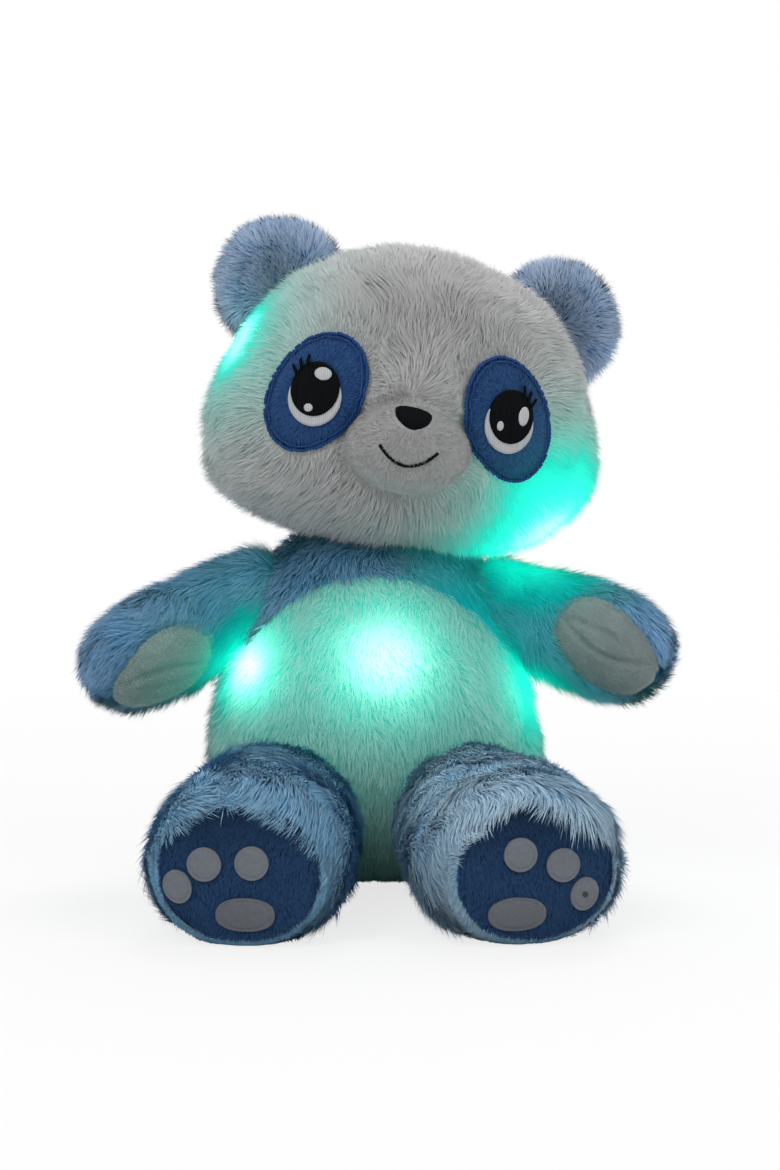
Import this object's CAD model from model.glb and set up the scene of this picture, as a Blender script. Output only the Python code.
import math

import bmesh
import bpy
import numpy as np
from mathutils import Matrix, Vector, noise
from mathutils.bvhtree import BVHTree


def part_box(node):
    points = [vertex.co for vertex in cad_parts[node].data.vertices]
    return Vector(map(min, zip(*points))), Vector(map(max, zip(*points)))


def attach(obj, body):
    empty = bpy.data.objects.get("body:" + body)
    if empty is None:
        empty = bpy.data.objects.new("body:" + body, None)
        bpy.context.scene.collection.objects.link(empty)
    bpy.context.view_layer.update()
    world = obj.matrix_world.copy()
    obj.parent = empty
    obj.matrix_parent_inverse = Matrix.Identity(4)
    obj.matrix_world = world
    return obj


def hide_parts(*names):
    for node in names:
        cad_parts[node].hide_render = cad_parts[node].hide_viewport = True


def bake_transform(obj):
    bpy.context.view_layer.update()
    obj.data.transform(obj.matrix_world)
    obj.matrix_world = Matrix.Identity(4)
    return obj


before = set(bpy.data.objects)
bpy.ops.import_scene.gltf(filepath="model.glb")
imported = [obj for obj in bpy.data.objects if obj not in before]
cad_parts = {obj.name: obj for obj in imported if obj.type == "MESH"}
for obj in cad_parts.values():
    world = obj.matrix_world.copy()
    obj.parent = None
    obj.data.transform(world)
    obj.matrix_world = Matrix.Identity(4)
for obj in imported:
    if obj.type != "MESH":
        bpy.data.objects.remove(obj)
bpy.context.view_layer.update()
print("frame loaded")

sideSigns = {"right": -1, "left": 1}  # the toy's own sides, its right at -X

# Camera, floor and light
view = {"place": (0.0074, -1.0, 0.205), "pitch": 3.52, "lens": 62.5, "sensor": 36.0}
studio = {
    "floorHalf": 3.0,
    "floorColour": (0.80, 0.80, 0.80, 1.0),
    "floorPaleness": (0.74, 0.26, 0.9),
    "skyLevel": 0.52,
    "lamps": (
        # place, aim, size, watts
        ((-0.75, -1.15, 1.35), (0.0, 0.0, 0.16), 0.9, 11.0),
        ((1.05, -0.85, 0.95), (0.0, 0.0, 0.14), 0.9, 5.0),
        ((0.15, 0.55, 1.45), (0.0, 0.0, 0.20), 0.8, 9.0),
    ),
}

# Shapes of the stuffed parts, which follow the solids under them
bodyShape = {
    "height": 0.170,
    "seatFlat": 0.0005,
    "halfWidth": 0.078,
    "front": 0.061,
    "back": 0.058,
    "backFlat": 0.054,
    # height, width, front and back, as shares of the sizes above
    "shares": (
        (0.0, 0.0, 0.0, 0.0), (0.002, 0.42, 0.42, 0.36), (0.022, 0.68, 0.68, 0.64),
        (0.075, 0.87, 0.86, 0.86), (0.160, 0.97, 0.95, 0.95), (0.270, 1.00, 1.00, 0.99),
        (0.390, 0.99, 1.00, 1.00), (0.510, 0.95, 0.97, 0.99), (0.620, 0.89, 0.91, 0.97),
        (0.720, 0.83, 0.83, 0.93), (0.810, 0.75, 0.74, 0.86), (0.890, 0.65, 0.64, 0.76),
        (0.950, 0.53, 0.52, 0.63), (0.990, 0.38, 0.36, 0.44), (1.0, 0.0, 0.0, 0.0),
    ),
    "bellyHalf": 0.070,
    "bellyMiddle": 0.079,
    "bellyRise": 0.0715,
    "bellyReach": 0.008,
    "yokeLow": 0.118,
}
headShape = {
    "centre": (0.0130, -0.0040, 0.2355),
    "halfWidth": 0.0910,
    "halfHeight": 0.0690,
    "halfDepth": 0.0720,
    "roll": 8.0,
    "yaw": 5.0,
    "aside": 0.0028,
    # height, width and depth shares
    "shares": (
        (-1.0, 0.0, 0.0), (-0.97, 0.39, 0.37), (-0.88, 0.66, 0.60), (-0.74, 0.86, 0.77),
        (-0.55, 0.965, 0.90), (-0.33, 1.005, 0.96), (-0.10, 0.985, 1.00), (0.13, 0.92, 1.00),
        (0.35, 0.845, 0.95), (0.56, 0.74, 0.85), (0.75, 0.60, 0.69), (0.89, 0.41, 0.48),
        (0.97, 0.22, 0.26), (1.0, 0.0, 0.0),
    ),
}
muzzleShape = {"half": (0.0282, 0.0230, 0.0197), "middle": (0.0, -0.0650, -0.0243)}
earShape = {
    "half": (0.0275, 0.0115, 0.0275),
    "cup": 0.0060,
    "cupRadius": 0.78,
    "across": {"right": 0.0655, "left": 0.0715},
    "back": 0.0060,
    "up": 0.0460,
    "splay": 40.0,
    "turn": 14.0,
}
armShape = {
    "shoulders": {"right": (-0.0620, -0.0030, 0.1380), "left": (0.0630, -0.0030, 0.1330)},
    "aims": {"right": (-0.880, -0.330, -0.470), "left": (0.840, -0.450, -0.260)},
    "palms": {"right": (0.050, -0.800, -0.550), "left": (-0.100, -0.950, -0.050)},
    "length": 0.0860,
    "halfHeight": 0.0255,
    "halfThickness": 0.0215,
    "shares": (
        (-0.20, 0.0, 0.0), (-0.18, 0.55, 0.58), (-0.10, 0.80, 0.84), (0.08, 0.86, 0.90),
        (0.26, 0.90, 0.94), (0.44, 0.97, 1.0), (0.62, 1.0, 0.98), (0.78, 0.93, 0.88),
        (0.90, 0.74, 0.68), (0.97, 0.46, 0.42), (1.0, 0.0, 0.0),
    ),
    "palmHalf": (0.0270, 0.0175),
    "palmAlong": {"right": 0.0560, "left": 0.0620},
    "palmLeans": {"right": -18.0, "left": 26.0},
}
legShape = {
    "hips": {"right": (-0.0450, -0.0480, 0.0370), "left": (0.0440, -0.0480, 0.0370)},
    "soles": {"right": (-0.0560, -0.1560, 0.0320), "left": (0.0690, -0.1530, 0.0320)},
    "halfWidth": 0.0425,
    "halfHeight": 0.0375,
    "shares": (
        (-0.26, 0.0, 0.0), (-0.24, 0.55, 0.60), (-0.20, 0.74, 0.80), (0.02, 0.82, 0.88),
        (0.22, 0.90, 0.95), (0.44, 0.97, 0.99), (0.66, 1.0, 1.0), (0.84, 0.98, 0.98),
        (0.94, 0.90, 0.90), (1.0, 0.79, 0.74),
    ),
    "tones": {"right": 0.86, "left": 1.00},
    "soleHalf": (0.0336, 0.0278),
    # each felt pad's place on its sole, outwards and up from the middle
    "pads": {
        "right": {"inner": (-0.0060, 0.0050), "middle": (0.0141, 0.0042),
                  "outer": (0.0256, -0.0056), "heel": (-0.0030, -0.0170)},
        "left": {"inner": (-0.0081, 0.0083), "middle": (0.0107, 0.0031),
                 "outer": (0.0204, -0.0097), "heel": (-0.0090, -0.0170)},
    },
    # half width, half height and lean
    "padSizes": {"inner": (0.0072, 0.0072, 0.0), "middle": (0.0072, 0.0072, 0.0),
                 "outer": (0.0059, 0.0072, 20.0), "heel": (0.0125, 0.0070, 0.0)},
}


def aimed(axis, facing):
    x = Vector(axis).normalized()
    y = Vector(facing).cross(x).normalized()
    return Matrix((x, y, x.cross(y))).transposed().to_4x4()


def turned(degrees, axis):
    return Matrix.Rotation(math.radians(degrees), 4, axis)


headFrame = Matrix.Translation(headShape["centre"]) @ turned(headShape["roll"],
                                                             "Y") @ turned(headShape["yaw"], "Z")


def earFrame(side):
    sign = sideSigns[side]
    x, y, z = earShape["across"][side], earShape["back"], earShape["up"]
    lean = turned(sign * earShape["turn"], "Z") @ turned(sign * earShape["splay"], "Y")
    return headFrame @ Matrix.Translation((sign * x, y, z)) @ lean


def armFrame(side):
    turn = aimed(armShape["aims"][side], armShape["palms"][side])
    return Matrix.Translation(armShape["shoulders"][side]) @ turn


def legFrame(side):
    hip, sole = Vector(legShape["hips"][side]), Vector(legShape["soles"][side])
    return Matrix.Translation(hip) @ aimed(sole - hip, (0, 0, 1)), (sole - hip).length


def soleFrame(side):
    # X runs outwards, Z up and -Y out of the sole
    leg, length = legFrame(side)
    return leg @ Matrix.Translation((length, 0, 0)) @ turned(90, "Z"), sideSigns[side]


# Mesh tools


def smoothTable(table, count):
    # a smooth line through the table's rows, at even steps
    table = np.array(table, float)
    reach = np.concatenate([[0], np.cumsum(np.linalg.norm(np.diff(table, axis=0), axis=1))])
    slope = np.gradient(table, reach, axis=0)
    wanted = np.linspace(0, reach[-1], count)
    i = np.clip(np.searchsorted(reach, wanted, side="right") - 1, 0, len(table) - 2)
    gap = (reach[i + 1] - reach[i])[:, None]
    t = (wanted - reach[i])[:, None] / gap
    start = (2 * t**3 - 3 * t**2 + 1) * table[i] + (t**3 - 2 * t**2 + t) * gap * slope[i]
    end = (3 * t**2 - 2 * t**3) * table[i + 1] + (t**3 - t**2) * gap * slope[i + 1]
    return start + end


def linked(name, mesh):
    item = bpy.data.objects.new(name, mesh)
    bpy.context.scene.collection.objects.link(item)
    return item


def meshFrom(name, points, faces):
    mesh = bpy.data.meshes.new(name)
    mesh.from_pydata([tuple(point) for point in points], [], faces)
    bm = bmesh.new()
    bm.from_mesh(mesh)
    bmesh.ops.recalc_face_normals(bm, faces=bm.faces)
    bm.to_mesh(mesh)
    bm.free()
    mesh.shade_smooth()
    return mesh


def ringMesh(name, rings, low=None, high=None):
    # rings of points joined into a skin, with a point at either end
    rings = np.asarray(rings, float)
    rows, count = rings.shape[:2]
    points = [tuple(point) for point in rings.reshape(-1, 3)]
    faces = []
    for row in range(rows - 1):
        for i in range(count):
            j = (i + 1) % count
            faces.append((row * count + i, row * count + j, (row + 1) * count + j, (row + 1) * count + i))
    for tip, row in ((low, 0), (high, rows - 1)):
        if tip is not None:
            points.append(tuple(tip))
            for i in range(count):
                faces.append((len(points) - 1, row * count + i, row * count + (i + 1) % count))
    return meshFrom(name, points, faces)


def pointsOf(mesh):
    points = np.empty(len(mesh.vertices) * 3, np.float32)
    mesh.vertices.foreach_get("co", points)
    return points.reshape(-1, 3).astype(float)


def normalsOf(mesh):
    normals = np.empty(len(mesh.vertices) * 3, np.float32)
    mesh.vertex_normals.foreach_get("vector", normals)
    return normals.reshape(-1, 3).astype(float)


def setPoints(mesh, points):
    mesh.vertices.foreach_set("co", np.asarray(points, np.float32).ravel())
    mesh.update()


def toWorld(matrix, points):
    matrix = np.array(matrix, float)
    return np.asarray(points, float) @ matrix[:3, :3].T + matrix[:3, 3]


def toLocal(matrix, points):
    return toWorld(matrix.inverted(), points)


def hill(values, middle, width):
    # 1 at the middle, falling off smoothly over the width
    return np.exp(-(((values - middle) / width) ** 2))


def unit(vectors):
    return vectors / np.maximum(np.linalg.norm(vectors, axis=1, keepdims=True), 1e-9)


def baked(item):
    # the object's modifiers, applied
    graph = bpy.context.evaluated_depsgraph_get()
    mesh = bpy.data.meshes.new_from_object(item.evaluated_get(graph))
    mesh.name = item.name
    item.modifiers.clear()
    item.data = mesh
    mesh.shade_smooth()
    return item


def puffed(item, pressure=4.0, travel=0.0025, voxel=0.0045, spare=0.03):
    # remeshed evenly, blown up from inside as a stuffed cloth skin, then subdivided
    step = item.modifiers.new("Even", "REMESH")
    step.mode = "VOXEL"
    step.voxel_size = voxel
    step = item.modifiers.new("Even out", "SMOOTH")
    step.factor, step.iterations = 0.5, 3
    baked(item)
    scene = bpy.context.scene
    before = pointsOf(item.data)
    cloth = item.modifiers.new("Cloth", "CLOTH")
    cloth.settings.quality = 5
    cloth.settings.use_pressure = True
    cloth.settings.uniform_pressure_force = pressure
    cloth.settings.shrink_min = -spare
    cloth.settings.effector_weights.gravity = 0.0
    cloth.point_cache.frame_start = 1
    cloth.point_cache.frame_end = 20
    for number in range(1, 21):
        scene.frame_set(number)
    baked(item)
    scene.frame_set(1)
    moved = pointsOf(item.data) - before
    far = np.linalg.norm(moved, axis=1, keepdims=True)
    setPoints(item.data, before + moved * np.minimum(1.0, travel / np.maximum(far, 1e-9)))
    step = item.modifiers.new("Finer", "SUBSURF")
    step.levels = step.render_levels = 1
    return baked(item)


def lumpy(item, size, amount, seed=0.0):
    # the slight unevenness of fibre fill under cloth
    mesh = item.data
    points, normals = pointsOf(mesh), normalsOf(mesh)
    shift = Vector((seed, 2 * seed, -seed))
    lift = [noise.noise(Vector(point) / size + shift) for point in points]
    setPoints(mesh, points + normals * (amount * np.array(lift))[:, None])
    return item


def treeOf(*items):
    bm = bmesh.new()
    for item in items:
        bm.from_mesh(item.data)
    tree = BVHTree.FromBMesh(bm)
    bm.free()
    return tree


def parted(item, name, keepFace):
    # a copy that keeps only the faces whose middles pass keepFace
    mesh = item.data.copy()
    bm = bmesh.new()
    bm.from_mesh(mesh)
    bm.faces.ensure_lookup_table()
    middles = np.array([face.calc_center_median() for face in bm.faces])
    keep = keepFace(middles)
    bmesh.ops.delete(bm, geom=[face for face, kept in zip(bm.faces, keep) if not kept], context="FACES")
    bm.to_mesh(mesh)
    bm.free()
    mesh.name = name
    return linked(name, mesh)


# Shading tools


class Wire:
    # a value on its way between shader nodes, which can be used in sums
    def __init__(self, coat, socket):
        self.coat, self.socket = coat, socket

    def maths(self, operation, first, second=None):
        inputs = {0: first} if second is None else {0: first, 1: second}
        return self.coat.node("ShaderNodeMath", {"operation": operation}, inputs)

    def __add__(self, other):
        return self.maths("ADD", self, other)

    def __sub__(self, other):
        return self.maths("SUBTRACT", self, other)

    def __rsub__(self, other):
        return self.maths("SUBTRACT", other, self)

    def __mul__(self, other):
        return self.maths("MULTIPLY", self, other)

    __radd__ = __add__
    __rmul__ = __mul__

    def clamped(self):
        return self.coat.node("ShaderNodeClamp", {}, {0: self})


class Coat:
    # one procedural material
    def __init__(self, name, roughness=0.9, metallic=0.0):
        self.material = bpy.data.materials.new(name)
        self.material.use_nodes = True
        self.tree = self.material.node_tree
        self.shader = self.tree.nodes["Principled BSDF"]
        self.feed({"Roughness": roughness, "Metallic": metallic})

    def node(self, kind, settings, inputs, out=0):
        made = self.tree.nodes.new(kind)
        for key, value in settings.items():
            setattr(made, key, value)
        self.plug(made, inputs)
        return Wire(self, made.outputs[out])

    def plug(self, made, inputs):
        for key, value in inputs.items():
            if isinstance(value, Wire):
                self.tree.links.new(value.socket, made.inputs[key])
            else:
                made.inputs[key].default_value = value

    def feed(self, inputs):
        self.plug(self.shader, inputs)
        return self

    def place(self):
        return self.node("ShaderNodeTexCoord", {}, {}, out=3)

    def attribute(self, name, out=2):
        return self.node("ShaderNodeAttribute", {"attribute_name": name}, {}, out=out)

    def noise(self, scale, detail=2.0, stretch=None):
        where = self.place()
        if stretch:
            where = self.node("ShaderNodeVectorMath", {"operation": "MULTIPLY"}, {0: where, 1: stretch})
        return self.node("ShaderNodeTexNoise", {}, {"Vector": where, "Scale": scale, "Detail": detail})

    def mix(self, factor, first, second):
        return self.node("ShaderNodeMix", {"data_type": "RGBA"}, {0: factor, 6: first, 7: second}, out=2)

    def scaled(self, colour, value):
        return self.node("ShaderNodeVectorMath", {"operation": "SCALE"}, {0: colour, "Scale": value})

    def bump(self, height, strength, distance):
        relief = self.node("ShaderNodeBump", {}, {"Height": height, "Strength": strength,
                                                  "Distance": distance})
        return self.feed({"Normal": relief})

    def wearing(self, item):
        item.data.materials.clear()
        item.data.materials.append(self.material)
        return item


def rgb(*values):
    return (*values, 1.0)


def lit(coat, colour, strength, left=(0.05, 0.45, 0.45), steep=1.0):
    # where light comes through, only this much of the pile's own colour is left in it
    dim = coat.node("ShaderNodeVectorMath", {"operation": "MULTIPLY"}, {0: colour, 1: left})
    drowned = (coat.attribute("drowned") * steep).clamped()
    coat.feed({"Base Color": coat.mix(drowned, colour, dim), "Specular IOR Level": 0.15})
    coat.feed({"Emission Color": coat.scaled(coat.attribute("glow", 0), strength), "Emission Strength": 1.0})


def furCoat(name, root, middle, tip, frost, left=(0.05, 0.45, 0.45), steep=1.0, even=True):
    # strands darker at the root, paler at the tip, in drifting patches
    coat = Coat(name, roughness=0.9)
    reach, chance = coat.attribute("reach"), coat.attribute("chance")
    drift, cloud = coat.noise(30.0, 2.0), coat.noise(95.0, 2.0)
    tall = ((reach + drift * 0.8 + cloud * 0.5 - 0.95 + chance * 0.25) * frost).clamped()
    colour = coat.mix((reach * 2.0).clamped(), rgb(*root), rgb(*middle))
    colour = coat.mix(tall, colour, rgb(*tip))
    patchy = 0.90 - reach * 0.20 + chance * 0.14 + cloud * 0.34
    lit(coat, coat.scaled(colour, coat.attribute("tone") * (0.88 + chance * 0.18)), patchy, left, steep)
    if even:
        # a strand takes the light as the pile round it does, on both of its sides
        turn = {"vector_type": "NORMAL", "convert_from": "OBJECT", "convert_to": "WORLD"}
        coat.feed({"Normal": coat.node("ShaderNodeVectorTransform", turn, {0: coat.attribute("soft", 1)})})
    return coat.feed({"Sheen Weight": 0.06, "Sheen Roughness": 0.5})


def backingCoat(name, colour):
    # the knitted backing that the pile stands on
    coat = Coat(name, roughness=0.95)
    loops = coat.noise(900.0, 1.0)
    knit = coat.mix(loops, rgb(*(0.5 * c for c in colour)), rgb(*(0.85 * c for c in colour)))
    lit(coat, coat.scaled(knit, coat.attribute("tone")), 0.9 + loops * 0.1)
    return coat.bump(loops, 0.5, 0.0004)


coats = {
    "whitePlush": furCoat("white long plush", (0.40, 0.40, 0.39), (0.47, 0.47, 0.465), (0.55, 0.555, 0.555),
                          1.0),
    "crownPlush": furCoat("white crown plush", (0.40, 0.40, 0.39), (0.47, 0.47, 0.465),
                          (0.55, 0.555, 0.555), 1.0, even=False),
    "bellyPlush": furCoat("white belly plush", (0.27, 0.27, 0.27), (0.33, 0.335, 0.33), (0.40, 0.41, 0.405),
                          1.0, (0.95, 0.62, 0.66)),
    "bluePlush": furCoat("blue long plush", (0.040, 0.145, 0.35), (0.085, 0.24, 0.52), (0.26, 0.42, 0.64),
                         1.2, (0.0, 0.6, 0.6), 3.0),
    "legPlush_right": furCoat("mid blue leg plush", (0.10, 0.34, 0.60), (0.15, 0.43, 0.68),
                              (0.32, 0.54, 0.73), 1.1, even=False),
    "legPlush_left": furCoat("pale blue leg plush", (0.18, 0.39, 0.61), (0.29, 0.51, 0.69),
                             (0.50, 0.65, 0.76), 1.1, even=False),
    "earPlush": furCoat("pale blue ear plush", (0.055, 0.165, 0.40), (0.135, 0.29, 0.56),
                        (0.46, 0.57, 0.73), 1.2),
    "palmPlush": furCoat("short palm pile", (0.20, 0.245, 0.24), (0.225, 0.27, 0.265), (0.26, 0.305, 0.30),
                         1.0),
    "muzzlePlush": furCoat("short muzzle plush", (0.40, 0.405, 0.395), (0.44, 0.45, 0.44),
                           (0.48, 0.49, 0.48), 1.0),
    "patchPlush": furCoat("eye patch plush", (0.012, 0.042, 0.14), (0.021, 0.070, 0.21),
                          (0.040, 0.11, 0.28), 0.9),
    "solePlush": furCoat("navy sole plush", (0.008, 0.027, 0.085), (0.016, 0.050, 0.135),
                         (0.028, 0.078, 0.17), 0.8),
    "whiteBacking": backingCoat("white backing", (0.60, 0.60, 0.59)),
    "bellyBacking": backingCoat("belly backing", (0.38, 0.39, 0.385)),
    "blueBacking": backingCoat("blue backing", (0.06, 0.22, 0.46)),
    "legBacking": backingCoat("pale blue backing", (0.24, 0.50, 0.76)),
    "soleBacking": backingCoat("navy backing", (0.014, 0.046, 0.13)),
    "patchBacking": backingCoat("patch backing", (0.020, 0.068, 0.20)),
}
print("fabric coats mixed")


# Light from inside


lightSpots = {}
for lampName in ("belly_middle", "belly_side", "flank", "cheek", "temple"):
    low, high = (np.array(corner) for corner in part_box("light_" + lampName))
    lightSpots[lampName] = (low + high) / 2
glowParts = {
    # strength and reach of the white core, of the bright ring and of the faint spread
    "belly_middle": ((0.55, 0.0110), (0.68, 0.0225), (0.22, 0.052)),
    "belly_side": ((0.95, 0.0070), (1.10, 0.0150), (0.20, 0.048)),
    "flank": ((0.00, 0.0060), (0.70, 0.0180), (0.22, 0.045)),
    "cheek": ((0.85, 0.0090), (1.70, 0.0235), (0.20, 0.040)),
    "temple": ((0.50, 0.0058), (0.85, 0.0120), (0.26, 0.032)),
}
glowTints = ((1.0, 0.9, 0.9), (0.0, 1.0, 0.68), (0.05, 1.0, 0.80))
throughSkin = 0.007  # what lies between a lamp and the pile


def glowAt(points, normals, own, cast, filterBy=(1.0, 1.0, 1.0), spread=0.5):
    # own lamps shine through the skin, cast lamps fall on it from outside
    white, total = np.zeros((len(points), 3)), np.zeros((len(points), 3))
    for name, parts in glowParts.items():
        if name not in own and name not in cast:
            continue
        away = lightSpots[name] - points
        far = np.linalg.norm(away, axis=1)
        past = np.maximum(far - throughSkin, 0)
        share = np.ones(len(points))
        if name in cast:
            share = 0.30 + 0.70 * np.clip((away * normals).sum(axis=1) / np.maximum(far, 1e-6), 0, 1)
            parts = ((0.0, 1.0), parts[1], (parts[2][0] * spread, parts[2][1]))
        for (level, reach), tint, store in zip(parts, glowTints, (white, total, total)):
            store += (level * share * hill(past, 0, reach))[:, None] * np.array(tint)
    total /= np.maximum(total.max(axis=1, keepdims=True), 1.0)  # it stays green where it is strongest
    return np.clip((total + white) * np.array(filterBy), 0, 1.4)


def setColours(mesh, colours, shade=1.0):
    # the light at each point, how far it drowns the cloth's own colour, and the cloth's tone
    count = len(colours)
    layer = mesh.attributes.new("glow", "FLOAT_COLOR", "POINT")
    layer.data.foreach_set("color", np.column_stack([colours, np.ones(count)]).astype(np.float32).ravel())
    drowned = np.clip(colours[:, 1] * 1.7, 0, 1)
    for key, values in (("drowned", drowned), ("tone", np.broadcast_to(shade, count))):
        layer = mesh.attributes.new(key, "FLOAT", "POINT")
        layer.data.foreach_set("value", np.array(values, np.float32))


# Fur


def cellChance(cells, salt):
    # an even, repeatable random number for each cell
    mixed = cells[:, 0] * 127.1 + cells[:, 1] * 311.7 + cells[:, 2] * 74.7 + salt * 19.19
    value = np.sin(mixed) * 43758.5453
    return value - np.floor(value)


def tuftCentres(points, size, salt):
    # the nearest of the random points that pile gathers round, with a random lean for each
    cells = np.floor(points / size)
    best = np.full(len(points), 1e9)
    centre, lean = points.copy(), np.zeros_like(points)
    for step in np.ndindex(3, 3, 3):
        cell = cells + np.array(step) - 1
        middle = (cell + np.column_stack([cellChance(cell, salt + k) for k in range(3)])) * size
        far = ((middle - points) ** 2).sum(axis=1)
        nearer = far < best
        best[nearer], centre[nearer] = far[nearer], middle[nearer]
        lean[nearer] = np.column_stack([cellChance(cell[nearer], salt + 7 + k) for k in range(3)]) * 2 - 1
    return centre, lean


def drifting(points, size, salt):
    # a smooth random direction at each point
    total = np.zeros_like(points)
    random = np.random.default_rng(1000 + salt)
    for _ in range(5):
        wave = random.normal(size=3) / size * 2.2
        total += np.sin(points @ wave + random.random() * 6.283)[:, None] * random.normal(size=3)
    return total / 2.6


def scatter(item, count, seed):
    # even random places over a skin, with the skin's normal at each
    mesh = item.data
    mesh.calc_loop_triangles()
    corners = np.empty(len(mesh.loop_triangles) * 3, np.int32)
    mesh.loop_triangles.foreach_get("vertices", corners)
    corners = corners.reshape(-1, 3)
    points, normals = pointsOf(mesh), normalsOf(mesh)
    a, b, c = (points[corners[:, k]] for k in range(3))
    area = np.linalg.norm(np.cross(b - a, c - a), axis=1)
    edges = np.cumsum(area)
    random = np.random.default_rng(seed)
    pick = np.searchsorted(edges, (np.arange(count) + random.random(count)) / count * edges[-1])
    pick = np.clip(pick, 0, len(area) - 1)
    u, v = random.random(count), random.random(count)
    over = u + v > 1
    u[over], v[over] = 1 - u[over], 1 - v[over]
    shares = np.column_stack([1 - u - v, u, v])[:, :, None]
    where = (points[corners[pick]] * shares).sum(axis=1)
    facing = unit((normals[corners[pick]] * shares).sum(axis=1))
    return where, facing, random


def bladeMesh(name, points, reaches, sheets):
    # strips of quads that end in a triangle, one strip for each blade
    count, perBlade = points.shape[:2]
    quads = (perBlade - 3) // 2
    base = (np.arange(count) * perBlade)[:, None]
    strip = [np.array((2 * k, 2 * k + 1, 2 * k + 3, 2 * k + 2)) for k in range(quads)]
    local = np.concatenate([*strip, np.array((2 * quads, 2 * quads + 1, 2 * quads + 2))])
    corners = base + local
    starts = (np.arange(count) * len(local))[:, None] + 4 * np.arange(quads + 1)
    mesh = bpy.data.meshes.new(name)
    mesh.vertices.add(count * perBlade)
    mesh.vertices.foreach_set("co", points.astype(np.float32).ravel())
    mesh.loops.add(corners.size)
    mesh.loops.foreach_set("vertex_index", corners.astype(np.int32).ravel())
    mesh.polygons.add(starts.size)
    mesh.polygons.foreach_set("loop_start", starts.astype(np.int32).ravel())
    mesh.update(calc_edges=True)
    mesh.shade_smooth()
    # each blade has its own small square of the bake
    side = math.ceil(math.sqrt(count))
    cell = np.column_stack([np.arange(count) % side, np.arange(count) // side])[:, None, :]
    spots = [((0.15, 0.85)[k % 2], 0.12 + 0.76 * reaches[k]) for k in range(perBlade - 1)] + [(0.5, 0.9)]
    spread = ((cell + np.array(spots)[None]) / side)[:, local]
    mesh.uv_layers.new(name="OFBake").data.foreach_set("uv", spread.astype(np.float32).ravel())
    for key, values in (("reach", np.tile(reaches, count)), ("chance", np.repeat(sheets, perBlade))):
        layer = mesh.attributes.new(key, "FLOAT", "POINT")
        layer.data.foreach_set("value", values.astype(np.float32))
    return mesh


def grow(name, skin, fur, lay, keep=None, lengthAt=None, glow=None, toneAt=None):
    # pile over a skin, combed along lay and gathered into tufts
    roots, normals, random = scatter(skin, fur["count"], fur["seed"])
    if keep is not None:
        kept = keep(roots, normals)
        roots, normals = roots[kept], normals[kept]
    count = len(roots)
    chance = random.random(count)
    combed = lay(roots, normals) + fur["swirl"] * drifting(roots, 0.016, fur["seed"])
    combed = unit(combed - (combed * normals).sum(axis=1, keepdims=True) * normals)
    length = fur["length"] * (0.72 + 0.5 * random.random(count))
    if lengthAt is not None:
        length = length * lengthAt(roots, normals)
    middles, lean = tuftCentres(roots, fur["tuft"], fur["seed"])
    _, broadLean = tuftCentres(roots, fur["tuft"] * 3.3, fur["seed"] + 50)
    stray = (random.random((count, 3)) * 2 - 1) * fur["stray"]
    way = unit(normals * fur["rise"] + combed * (1 - fur["rise"]) + lean * 0.10 + broadLean * 0.20 + stray)
    bend = combed * fur["bend"] - normals * 0.25 * fur["bend"] + np.array((0, 0, -0.08))
    inward = middles - roots
    inward -= (inward * normals).sum(axis=1, keepdims=True) * normals
    across = unit(np.cross(way, normals) + 1e-6)
    across = unit(across + (random.random(count) * 2 - 1)[:, None] * 0.35 * normals)
    rows, reaches = [], []
    for t, share in zip((0.0, 0.5, 1.0), (1.0, 0.85, 0.0)):
        spine = roots + way * (t * length)[:, None] + bend * (t * t * length)[:, None]
        spine = spine + inward * (fur["gather"] * t**1.4) - normals * (0.0004 if t == 0 else 0)
        half = across * (fur["width"] * 0.5 * share * (0.7 + 0.6 * chance))[:, None]
        for side in (-1, 1) if share else (0,):
            rows.append(spine + side * half)
            reaches.append(t)
    points = np.stack(rows, axis=1)
    points[:, :, 2] = np.maximum(points[:, :, 2], 0.0003)
    mesh = bladeMesh(name, points, np.array(reaches), chance)
    perBlade = len(rows)
    tone = np.ones(count) if toneAt is None else toneAt(roots, normals)
    colours = np.zeros((count, 3)) if glow is None else glow(roots, normals)
    setColours(mesh, np.repeat(colours, perBlade, axis=0), np.repeat(tone, perBlade))
    soft = np.repeat(unit(normals + 0.26 * broadLean + 0.12 * lean), perBlade, axis=0).astype(np.float32)
    mesh.attributes.new("soft", "FLOAT_VECTOR", "POINT").data.foreach_set("vector", soft.ravel())
    mesh.normals_split_custom_set_from_vertices(soft.tolist())
    print("  %s: %d blades" % (name, count))
    return linked(name, mesh)


def awayFrom(middle):
    return lambda points, normals: unit(points - np.array(middle))


def towards(direction):
    return lambda points, normals: np.tile(np.array(direction, float), (len(points), 1))


def wholeGlow(item, glow, shade=1.0):
    mesh = item.data
    setColours(mesh, glow(pointsOf(mesh), normalsOf(mesh)), shade)


def noGlow(points, normals):
    return np.zeros((len(points), 3))


def dress(item, coat, body, nodes=()):
    coats[coat].wearing(item)
    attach(item, body)
    if nodes:
        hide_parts(*nodes)
    return item


# Body


bodyFur = {
    "belly": {"count": 100000, "length": 0.0054, "width": 0.00038, "rise": 0.46, "bend": 0.32, "tuft": 0.0030,
              "gather": 0.12, "stray": 0.22, "swirl": 0.35, "seed": 3},
    "back": {"count": 86000, "length": 0.0076, "width": 0.00048, "rise": 0.50, "bend": 0.40, "tuft": 0.0040,
             "gather": 0.14, "stray": 0.34, "swirl": 0.45, "seed": 4},
    "yoke": {"count": 100000, "length": 0.0070, "width": 0.00044, "rise": 0.50, "bend": 0.40, "tuft": 0.0038,
             "gather": 0.14, "stray": 0.34, "swirl": 0.45, "seed": 5},
}


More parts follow.
